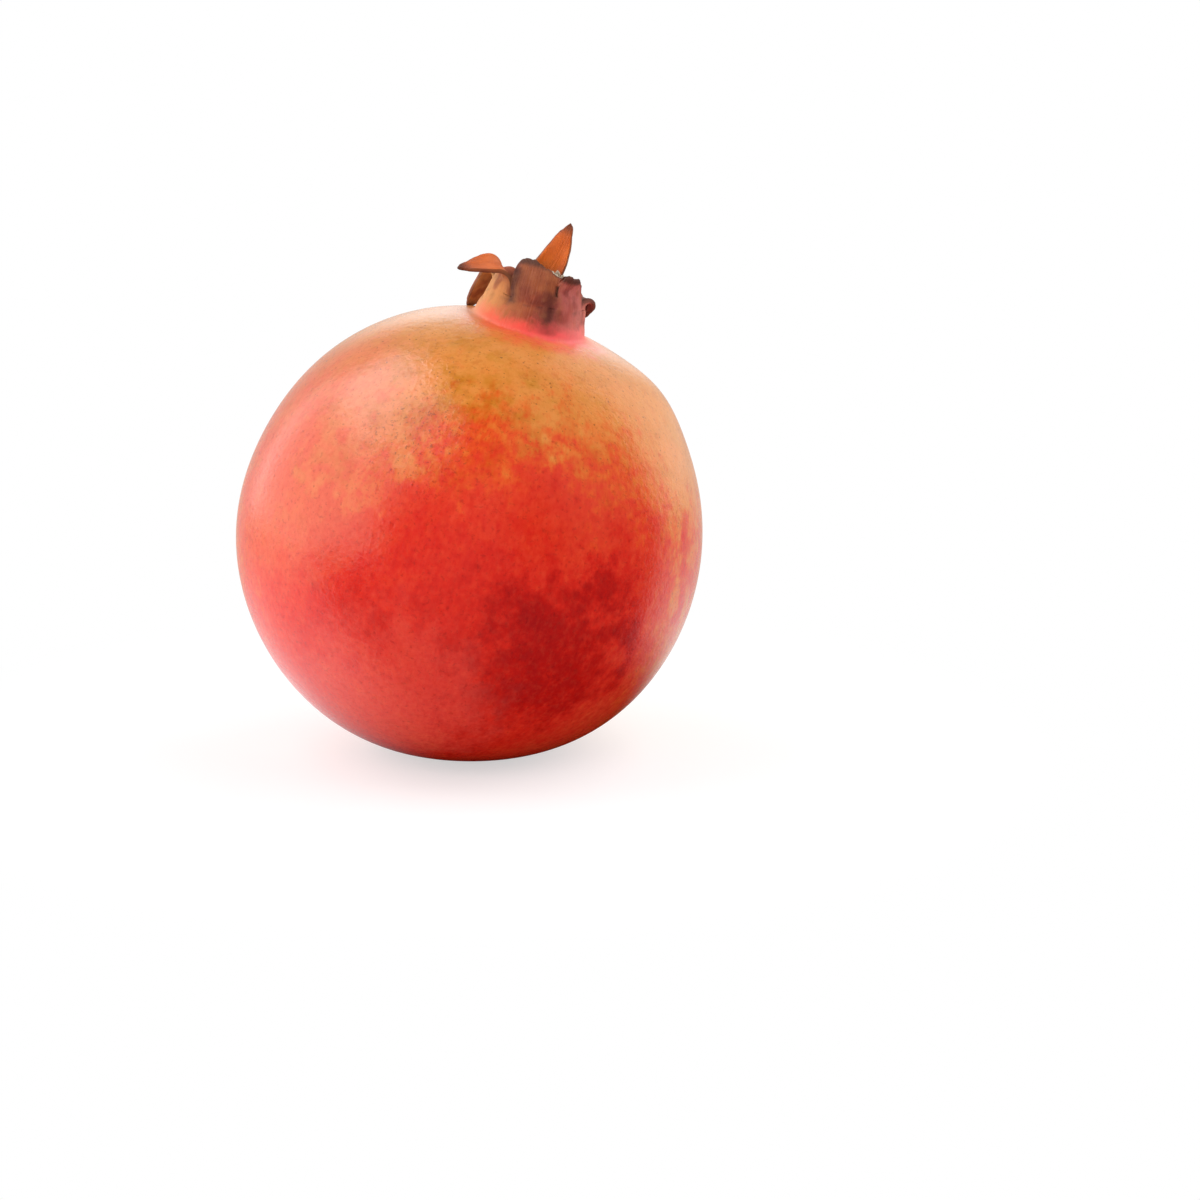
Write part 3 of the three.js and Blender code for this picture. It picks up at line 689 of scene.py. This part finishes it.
def colours(value, stops):
    """A colour ramp with those stops."""
    made = add("ValToRGB", value)
    for _ in range(len(stops) - 2):
        made.color_ramp.elements.new(0.5)
    for element, (position, colour) in zip(made.color_ramp.elements, stops):
        element.position = position
        element.color = (*colour, 1)
    return made.outputs["Color"]


def layered(under, *layers):
    """The colour under, covered in turn by layers: how much each covers, its colour, and how it
    blends if it doesn't simply cover."""
    for share, over, *blend in layers:
        made = add("Mix", share, data_type="RGBA", blend_type=blend[0] if blend else "MIX")
        fill(made.inputs[6], under)
        fill(made.inputs[7], over if isinstance(over, bpy.types.NodeSocket) else (*over, 1))
        under = made.outputs[2]
    return under


def bumped(height, strength, depth):
    """The surface's direction where that height, times a depth in metres, roughens it."""
    return add("Bump", strength, depth, None, height).outputs["Normal"]


rind = new_material("rind")
place = add("Mapping", add("TexCoord").outputs["Object"], (0, 0, CENTRE_HEIGHT * 0.001), None,
            (BODY_RADIUS * 0.001,) * 3, vector_type="TEXTURE").outputs[0]  # body radii from its middle
grain = attribute("grain", "Vector")
rise, inner, margin = (attribute(name) for name in ("rise", "inner", "margin"))  # as the mesh has them

# How much blush there is at each place
wander = add("VectorMath", noise(place, 9.0, 5.0, 0.6, "Color"), (0.5,) * 3, operation="SUBTRACT")
wander = stretched(wander.outputs[0], (PATCH_WANDER * 2,) * 3)
wandered = add("VectorMath", place, wander).outputs[0]
sun = plus(how_far(place, BLUSH_SIDE), BLUSH_START)
for direction, foot, top, more in BLUSH_PATCHES:
    low, high = (float(np.cos(np.radians(angle))) for angle in (foot, top))
    sun = plus(sun, ramped(how_far(wandered, direction), low, high, 0.0, more))
streaks = stretched(grain, STREAK_DRAWN)
for where, scale, detail, strength in BLUSH_DRIFTS:
    drift = noise(streaks if where == "streaks" else place, scale, detail)
    sun = plus(sun, times(maths("SUBTRACT", drift, 0.5), strength))
skin_colour = colours(maths("DIVIDE", sun, FULL_BLUSH), RIND_COLOURS)
for direction, low, high, most, colour in SIDE_COLOURS:
    skin_colour = layered(skin_colour, (ramped(how_far(wandered, direction), low, high, 0.0, most), colour))

# Mottling, fine streaks and scuffs
mottling = plus(noise(place, 15.0, 3.0, 0.6), noise(place, 40.0, 3.0))
fine = noise(stretched(grain, FINE_DRAWN), 40.0, 4.0, 0.62)
dark_streaks = times(ramped(fine, 0.58, 0.3, 0.0, 0.5), ramped(sun, 0.2, 0.5, 0.25, 1.0))
scuffs = ramped(noise(place, 60.0, 4.0, 0.6), 0.54, 0.72, 0.0, 0.6)

# Olive where there is little blush, and most round one spot
olive = times(ramped(noise(place, 9.0, 4.0, 0.6), 0.4, 0.7), ramped(sun, 0.8, 0.3))
olive = times(olive, ramped(how_far(wandered, OLIVE_SPOT), 0.86, 0.99, 0.4, 1.0))

# Pores, fainter in the blush, and the nicks of wrinkled skin
strewn = add("VectorMath", place, stretched(wander, (0.12,) * 3)).outputs[0]
pores = maths("MAXIMUM", *(flecks(strewn, *pore) for pore in PORES))
pores = times(pores, ramped(sun, 0.6, 0.25, 0.16, 0.62))
chafed = ramped(how_far(place, CHAFED_SIDE), 0.955, 0.995)
wrinkles = noise(stretched(place, (1, 1, 0.6)), 58.0, 5.0, 0.75)
nicks = times(ramped(wrinkles, 0.57, 0.64), ramped(chafed, 0.0, 1.0, 0.0, 0.6))
skin_colour = layered(
    skin_colour,
    (ramped(mottling, 0.95, 0.65, 0.0, 0.45), MOTTLE_CAST, "MULTIPLY"),
    (ramped(fine, 0.42, 0.75, 0.0, 0.05), PALE_STREAK),
    (dark_streaks, STREAK_CAST, "MULTIPLY"),
    (scuffs, SCUFF_CAST, "MULTIPLY"),
    (olive, OLIVE_CAST, "MULTIPLY"),
    (maths("MAXIMUM", pores, nicks), PORE_CAST, "MULTIPLY"),
)

# The calyx: the mesh's colours, with their painted shade, and fibres, stains, dark tips and dark torn edges
fibres = noise(stretched(grain, FIBRE_DRAWN), 38.0, 3.0)
stains = noise(place, 22.0, 3.0, 0.5)
dark_stains = times(ramped(stains, 0.5, 0.75, 0.0, 0.3), ramped(inner, 0.3, 0.7, 1.0, 0.3))
tips = times(ramped(rise, 2.8, 3.0), 0.8)
torn = plus(margin, times(stains, 0.8))
edges = times(ramped(torn, 0.7, 0.3), ramped(rise, 2.02, 2.2, 0.0, 0.6))
calyx_colour = layered(
    attribute("tint", "Color"),
    (ramped(fibres, 0.5, 0.75, 0.0, 0.18), BROWN_SKIN),
    (dark_stains, TIP_BROWN),
    (ramped(stains, 0.55, 0.3, 0.0, 0.16), PALE_BARK),
    (times(ramped(rise, 2.5, 3.0, 0.0, 0.75), inner), TIP_CAST, "MULTIPLY"),
    (maths("MAXIMUM", tips, edges), TIP_BROWN),
)

# Body, neck and calyx run into one another along an uneven line
unevenly = plus(rise, times(noise(place, 17.0, 4.0, 0.6), 1.4))
neck_colour = layered(attribute("neck_tint", "Color"), (ramped(unevenly, 1.3, 2.2), calyx_colour))
whole = layered(skin_colour, (ramped(unevenly, -0.35, 1.25), neck_colour))
dryness = ramped(rise, -1.0, 1.4)
roughness = ramped(dryness, 0.0, 1.0, WAXY, DRY)
roughness = plus(roughness, times(noise(place, 26.0, 3.0), ROUGHNESS_DRIFT))
relief = times(noise(place, 42.0, 4.0, 0.6), SKIN_RELIEF)
relief = maths("SUBTRACT", relief, times(flecks(place, 60.0, 0.3, 0.6), PORE_RELIEF))
relief = plus(relief, times(times(fibres, dryness), FIBRE_RELIEF))
relief = plus(relief, times(times(wrinkles, chafed), WRINKLE_RELIEF))
feed(Base_Color=whole, Roughness=roughness, Normal=bumped(relief, 0.6, 0.0002))

skin_mesh.materials.append(rind)
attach(fruit, "root")
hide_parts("fruit")


# ------------------------
# THE STAMENS. The flower's stamens dried where they stood and still fill the cup: hair-thin filaments
# that end in split anthers, with the withered style in the middle. They grow from the papery saucer
# that lines the cup's floor.

SAUCER_RADIUS, SAUCER_UNDERSIDE, SAUCER_THICKNESS, SAUCER_RISE = 6.3, 43.3, 0.9, 0.8
SAUCER_RINGS, SAUCER_COLUMNS, SAUCER_CRINKLE = 12, 72, 0.12
FILAMENT_COUNT, FILAMENT_THICKNESS, FILAMENT_SIDES = 132, 0.3, 6
FILAMENT_LENGTHS, FILAMENT_ROOTS = (5.6, 11.2), (0.3, 0.86)
FILAMENT_NOD, FILAMENT_SWAY = (-0.2, 2.8), (-1.8, 1.8)  # how far a tip has moved inwards, and aside
GOLDEN_ANGLE = np.radians(137.508)
ANTHER_SHARE, ANTHER_THICKNESS, ANTHER_SPLIT = 0.17, 0.85, 0.34
ANTHER_RINGS, ANTHER_WIDTHS = np.array([0.08, 0.3, 0.6, 0.88, 1]), np.array([0.55, 0.95, 1, 0.7, 0.3])
STYLE_LENGTH, STYLE_THICKNESS, STYLE_TIP, STYLE_STEPS = 6.2, 1.3, (0.7, 0.4), 12


def strands(paths, radii, split, sides, phi):
    """Closed tubes along paths of copies x steps x 3: at each step a ring of that radius across the
    path, pinched by split into two lobes, as radius (1 + split cos 2a) at angle a round it."""
    along = np.gradient(paths, axis=1)
    along = along / np.linalg.norm(along, axis=-1, keepdims=True)
    outward = around(1, phi, 0)[:, None]
    across = outward - along * (outward * along).sum(-1, keepdims=True)
    across = across / np.linalg.norm(across, axis=-1, keepdims=True)
    aside = np.cross(along, across)
    turn = 2 * np.pi * np.arange(sides) / sides
    reach = radii[..., None] * (1 + split[..., None] * np.cos(2 * turn))
    rings = paths[:, :, None] + across[:, :, None] * (reach * np.cos(turn))[..., None]
    rings = rings + aside[:, :, None] * (reach * np.sin(turn))[..., None]
    return rings, paths[:, 0], paths[:, -1]


index = np.arange(FILAMENT_COUNT)
filament_phi = index * GOLDEN_ANGLE
root = SAUCER_RADIUS * between(*FILAMENT_ROOTS, np.sqrt((index + 0.5) / FILAMENT_COUNT))
length = between(*FILAMENT_LENGTHS, varied(index, 1) ** 1.6)
nod = between(*FILAMENT_NOD, varied(index, 2))
sway = between(*FILAMENT_SWAY, varied(index, 3))
foot = SAUCER_UNDERSIDE + SAUCER_THICKNESS / 2 + SAUCER_RISE * (root / SAUCER_RADIUS) ** 2

# Rings stand close together on the anther and far apart below it
below_anther = 1 - ANTHER_SHARE
t = np.concatenate([np.linspace(0, below_anther, 7), below_anther + ANTHER_SHARE * ANTHER_RINGS])
swell = np.concatenate([np.full(7, FILAMENT_THICKNESS), ANTHER_THICKNESS * ANTHER_WIDTHS])
filament_radii = swell / 2 * between(0.85, 1.15, varied(index, 4))[:, None]
anther_split = np.concatenate([np.zeros(7), np.full(5, ANTHER_SPLIT)])


def filament_place(share, inward, aside):
    """A point by its share of the length, how far it leans inwards and how far it sways aside."""
    return around(root - inward, filament_phi + aside / root, foot + length * share)[:, None]


# Each is a quadratic curve between its root, a point that pulls it upright, and its nodding tip
t_of = t[None, :, None]
filament_paths = (
    filament_place(0, 0, 0) * (1 - t_of) ** 2
    + filament_place(0.6, -0.1, 0) * 2 * t_of * (1 - t_of)
    + filament_place(1, nod, sway) * t_of**2
)
anther_split = np.tile(anther_split, (FILAMENT_COUNT, 1))
filaments = strands(filament_paths, filament_radii, anther_split, FILAMENT_SIDES, filament_phi)

style_t = np.linspace(0, 1, STYLE_STEPS)
style_foot = np.array([0, 0, SAUCER_UNDERSIDE + SAUCER_THICKNESS / 2])
style_path = style_foot + style_t[:, None] * np.array([*STYLE_TIP, STYLE_LENGTH])
knob = bell((style_t - 0.94) * np.pi, 14)
style_radii = STYLE_THICKNESS / 2 * (1 - 0.45 * style_t + 0.3 * knob) * np.where(style_t < 1, 1, 0.6)
style = strands(style_path[None], style_radii[None], np.full((1, STYLE_STEPS), 0.1), STYLE_STEPS, np.zeros(1))

# The saucer runs from the middle of its underside out, round its edge and back over the top
share = np.linspace(1 / SAUCER_RINGS, 1, SAUCER_RINGS)
under = SAUCER_UNDERSIDE + SAUCER_RISE * share**2.4
rounding = np.pi * np.array([0.25, 0.5, 0.75])
saucer_radius = np.concatenate([share, 1 + 0.02 * np.sin(rounding), share[::-1]]) * SAUCER_RADIUS
edge_height = SAUCER_UNDERSIDE + SAUCER_RISE + SAUCER_THICKNESS * (1 - np.cos(rounding)) / 2
saucer_height = np.concatenate([under, edge_height, under[::-1] + SAUCER_THICKNESS])
saucer_phi = 2 * np.pi * np.arange(SAUCER_COLUMNS) / SAUCER_COLUMNS
crinkle = np.sin(11 * saucer_phi + 2 * np.sin(3 * saucer_phi))
crinkle = SAUCER_CRINKLE * (saucer_radius / SAUCER_RADIUS)[:, None] ** 3 * crinkle
saucer = around(saucer_radius[:, None], saucer_phi, saucer_height[:, None] + crinkle)
saucer_ends = np.array([[0, 0, SAUCER_UNDERSIDE]]), np.array([[0, 0, SAUCER_UNDERSIDE + SAUCER_THICKNESS]])

tuft_mesh = ring_mesh("stamen_tuft", (saucer[None], *saucer_ends), style, filaments)

# How far up a filament each point is, from 0 at its root to 1 at its tip; the saucer counts as 0
filament_share = np.concatenate([np.repeat(t, FILAMENT_SIDES), [0, 1]])
up_filament = np.concatenate([
    np.zeros(saucer[..., 0].size + 2),
    np.repeat(style_t * below_anther, STYLE_STEPS), [0, below_anther],
    np.tile(filament_share, FILAMENT_COUNT),
])
own_shade = np.concatenate([
    np.full(saucer[..., 0].size + 2, 0.4), np.full(STYLE_STEPS**2 + 2, 0.1),
    np.repeat(varied(index, 5), len(filament_share)),
])
write_attribute(tuft_mesh, "up", up_filament)
write_attribute(tuft_mesh, "own_shade", own_shade)
tuft = in_scene("stamen_tuft", tuft_mesh)

FILAMENT_COLOURS = [  # from root to tip
    (0.00, (0.16, 0.05, 0.025)),
    (0.55, (0.36, 0.17, 0.10)),
    (0.82, (0.40, 0.24, 0.14)),
    (0.85, (0.44, 0.32, 0.21)),
    (1.00, (0.56, 0.46, 0.34)),
]
DARK_ANTHER = (0.13, 0.06, 0.035)

dried = new_material("dried_stamens")
place = add("TexCoord").outputs["Object"]
dust = ramped(noise(place, 1800.0, 3.0), 0.35, 0.75, 0.0, 0.5)
dried_colour = layered(
    colours(attribute("up"), FILAMENT_COLOURS),
    (ramped(attribute("own_shade"), 0.35, 0.0, 0.0, 0.8), DARK_ANTHER),
    (dust, DARK_ANTHER),
)
feed(Base_Color=dried_colour, Roughness=ramped(noise(place, 900.0), 0.2, 0.8, 0.7, 0.95),
     Normal=bumped(noise(place, 3000.0, 3.0), 0.5, 0.0001))

tuft_mesh.materials.append(dried)
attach(tuft, "root")
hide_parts("stamens")


# ------------------------
# THE STALK'S STUB. The woody end of the twig, clipped off close when the fruit was picked. It stands
# in the dimple under the fruit, clear of the table, with bark round it and pith in its cut face.

STALK_RADIUS, STALK_ROOT, STALK_CUT = 1.8, -40.9, -44.7  # the root is grown into the rind
STALK_COLUMNS, STALK_RIDGES, RIDGE_HEIGHT, BARK_STRETCH = 60, 9, 0.05, 0.15
STALK_PROFILE = [  # shares of the height from the cut to the root, and of the radius
    (0, 0, 0, 0.01, 0.05, 0.12, 0.25, 0.4, 0.55, 0.68, 0.8, 0.9, 1),
    (0.3, 0.6, 0.82, 0.88, 0.915, 0.925, 0.93, 0.94, 0.96, 0.99, 1.06, 1.16, 1.3),
]

stalk_share, stalk_width = np.array(STALK_PROFILE)
stalk_phi = 2 * np.pi * np.arange(STALK_COLUMNS) / STALK_COLUMNS
bark = np.sin(STALK_RIDGES * stalk_phi + 1.5 * np.sin(2 * stalk_phi)) + 0.6 * np.sin(17 * stalk_phi)
ridges = RIDGE_HEIGHT * bark * smooth(stalk_width / 0.9)[:, None] ** 4
stalk_height = between(STALK_CUT, STALK_ROOT, stalk_share)[:, None] + 0.06 * np.sin(stalk_phi + 1)
stalk_rings = around(STALK_RADIUS * stalk_width[:, None] + ridges, stalk_phi, stalk_height)
stalk_ends = np.array([[0, 0, STALK_CUT]]), np.array([[0, 0, STALK_ROOT]])
stalk_mesh = ring_mesh("stalk_stub", (stalk_rings[None], *stalk_ends))
stalk = in_scene("stalk_stub", stalk_mesh)

WOOD_COLOURS = [  # from the pith outwards to the bark, by share of the stalk's radius
    (0.00, (0.20, 0.10, 0.045)),
    (0.16, (0.30, 0.17, 0.08)),
    (0.24, (0.55, 0.38, 0.20)),
    (0.72, (0.46, 0.29, 0.14)),
    (0.84, (0.24, 0.12, 0.055)),
    (1.00, (0.17, 0.10, 0.055)),
]
PALE_FIBRE, DARK_BARK = (0.36, 0.27, 0.18), (0.07, 0.035, 0.02)

stalk_outward = np.repeat(np.minimum(stalk_width, 1), STALK_COLUMNS)
stalk_round = around(1, stalk_phi, BARK_STRETCH * stalk_share[:, None]).reshape(-1, 3)
write_attribute(stalk_mesh, "outward", np.concatenate([stalk_outward, [0, 1]]))
write_attribute(stalk_mesh, "round", np.concatenate([stalk_round, np.zeros((2, 3))]))

wood = new_material("stalk_wood")
fibres = noise(attribute("round", "Vector"), 9.0, 4.0, 0.7)
specks = ramped(noise(add("TexCoord").outputs["Object"], 2200.0, 3.0), 0.45, 0.7, 0.0, 0.6)
wood_colour = layered(
    colours(attribute("outward"), WOOD_COLOURS),
    (ramped(fibres, 0.4, 0.65, 0.0, 0.6), PALE_FIBRE),
    (specks, DARK_BARK),
)
feed(Base_Color=wood_colour, Roughness=ramped(fibres, 0.2, 0.8, 0.65, 0.95),
     Normal=bumped(fibres, 0.7, 0.0002))

stalk_mesh.materials.append(wood)
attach(stalk, "root")
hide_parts("stem_stub")


# ------------------------
# STAGE. A white table under a large soft box that leans over the fruit from the left, a white wall
# behind, and nothing but dark room to the front right.

PIXELS_PER_MM = 5.06  # size of the fruit in a picture 1200 pixels wide
HALF_WIDTH = 600 / PIXELS_PER_MM  # of what that picture shows
CAMERA_DISTANCE = 750
CAMERA_ELEVATION = np.radians(14)
AIM_RIGHT, AIM_DOWN = 129.5 / PIXELS_PER_MM, 65.2 / PIXELS_PER_MM  # from the middle of the fruit

look = np.array([0, np.cos(CAMERA_ELEVATION), -np.sin(CAMERA_ELEVATION)])
image_up = np.array([0, np.sin(CAMERA_ELEVATION), np.cos(CAMERA_ELEVATION)])
aim = np.array([AIM_RIGHT, 0, CENTRE_HEIGHT]) - image_up * AIM_DOWN
camera = in_scene("camera", bpy.data.cameras.new("camera"))
camera.location = (aim - look * CAMERA_DISTANCE) * 0.001
camera.rotation_euler = Vector(look).to_track_quat("-Z", "Y").to_euler()
camera.data.sensor_width = 36
camera.data.lens = camera.data.sensor_width / 2 * CAMERA_DISTANCE / HALF_WIDTH
bpy.context.scene.camera = camera

world = bpy.data.worlds.new("studio")
bpy.context.scene.world = world
world.use_nodes = True
world.node_tree.nodes["Background"].inputs["Color"].default_value = (1, 1, 1, 1)
world.cycles_visibility.diffuse = False
world.cycles_visibility.glossy = False
bpy.context.scene.view_settings.view_transform = "Standard"


def soft_box(name, corner, along, up, power, seen=False):
    """A rectangular light from a corner along one side and up the other, which are square to each
    other. It shines to the side from which along is seen to turn to up clockwise. One that is seen
    shows in the fruit's gloss and lights nothing; the others light the fruit and show in nothing."""
    corner, along, up = (np.array(v, float) for v in (corner, along, up))
    light = bpy.data.lights.new(name, "AREA")
    light.shape = "RECTANGLE"
    light.size = float(np.linalg.norm(along))
    light.size_y = float(np.linalg.norm(up))
    light.energy = power
    x, y = along / np.linalg.norm(along), up / np.linalg.norm(up)
    sides = np.column_stack([x, y, np.cross(x, y), corner + (along + up) / 2])
    holder = in_scene(name, light)
    holder.matrix_world = np.vstack([sides, [0, 0, 0, 1]]).T.tolist()
    holder.visible_camera = False
    holder.visible_glossy = seen
    holder.visible_diffuse = not seen


top_box = (-0.62, 0.45, 0.66), (0, -0.85, 0), (0.40, 0, 0.20)
left_wall = (-0.7, 0.7, -0.02), (0, -1.35, 0), (0.08, 0, 0.68)
# A little further off than the lights that they go with, because rays lose one of two lights at one place
soft_box("top_box_seen", *(np.array(side) * 1.03 for side in top_box), 5.4, seen=True)
soft_box("left_wall_seen", *(np.array(side) * 1.03 for side in left_wall), 5, seen=True)
soft_box("top_box", *top_box, 2.1)
soft_box("left_wall", *left_wall, 5.9)
soft_box("back_wall", (3.5, 0.9, 0), (-4.8, 0, 0), (0, 0, 1.4), 12.5)
soft_box("front_fill", (-0.9, -1.1, 0.0), (1.4, 0, 0), (0, 0.2, 0.9), 7.4)
soft_box("right_rim", (1.2, 0.7, 0), (-0.5, 0.5, 0), (0, 0, 0.3), 5)
soft_box("right_fill", (0.7, -0.6, 0.1), (0, 1.2, 0), (-0.4, 0, 0.9), 6.8)


def flat_piece(name, corners, glow, **finish):
    """A flat piece of the stage that glows as brightly as glow(spot) says for each spot on it, with
    what else its shader is given."""
    mesh = bpy.data.meshes.new(name)
    mesh.from_pydata(corners, [], [(0, 1, 2, 3)])
    mesh.materials.append(new_material(name))
    spot = add("TexCoord").outputs["Object"]
    feed(Specular_IOR_Level=0.0, Emission_Strength=glow(spot), **finish)
    return in_scene(name, mesh)


def level(depth):
    """The corners of a level sheet that far below the table's top."""
    return [(-3, -3, -depth), (3, -3, -depth), (3, 3, -depth), (-3, 3, -depth)]


def distance(spot, centre=(0, 0, 0)):
    """How far a spot is from a centre."""
    return add("VectorMath", spot, centre, operation="DISTANCE").outputs["Value"]


def table_itself(spot):
    """White, and half lit by what falls on it close to the fruit, so that it takes a shadow."""
    away = distance(spot)
    feed(Base_Color=ramped(away, 0.025, 0.12, 0.5, 0.0))
    return ramped(away, 0.025, 0.12, 0.55, 1.0)


def table_in_gloss(spot):
    """Pale, but dark at the front right and under the fruit, and dimmer towards the back."""
    pale = ramped(how_far(spot, (-0.25, 0.97, 0)), -0.05, -0.02, 0.1, 1.35)
    pale = times(pale, ramped(distance(spot, (0.02, -0.015, 0)), 0.025, 0.08))
    return times(pale, ramped(how_far(spot, (0, 1, 0)), -0.02, 0.15, 1.0, 0.5))


def wall_in_gloss(spot):
    """Brighter to the right, with a lit patch straight behind the crown."""
    wall = ramped(how_far(spot, (1, 0, 0)), 0.2, 1.1, 0.65, 1.25)
    return plus(wall, ramped(distance(spot, (0.05, 0.95, 0.42)), 0.45, 0.1, 0.0, 1.5))


def table_on_skin(spot):
    """Lights the fruit from below, most on the left and least at the front right."""
    pale = ramped(how_far(spot, (-1, -0.2, 0)), -0.08, 0.1, 0.6, 1.35)
    return times(pale, ramped(distance(spot), 0.005, 0.05))


table = flat_piece("table", level(0), table_itself, Roughness=0.8, Emission_Color=(1, 1, 1, 1))
table.visible_glossy = False
table.visible_diffuse = False

# What the fruit sees of the room, in its gloss or on its skin, and the camera doesn't
wall_corners = [(3.6, 0.95, 0), (-1.4, 0.95, 0), (-1.4, 0.95, 1.45), (3.6, 0.95, 1.45)]
for name, corners, colour, glow, use in (
    ("table_sheen", level(0.001), (1, 0.95, 0.975, 1), table_in_gloss, "gloss"),
    ("wall_sheen", wall_corners, (1, 1, 1, 1), wall_in_gloss, "gloss"),
    ("table_bounce", level(0.002), (1, 0.97, 0.97, 1), table_on_skin, "skin"),
):
    sheet = flat_piece(name, corners, glow, Base_Color=(0, 0, 0, 1), Emission_Color=colour)
    sheet.visible_camera = False
    sheet.visible_shadow = False
    sheet.visible_diffuse = use == "skin"
    sheet.visible_glossy = use == "gloss"
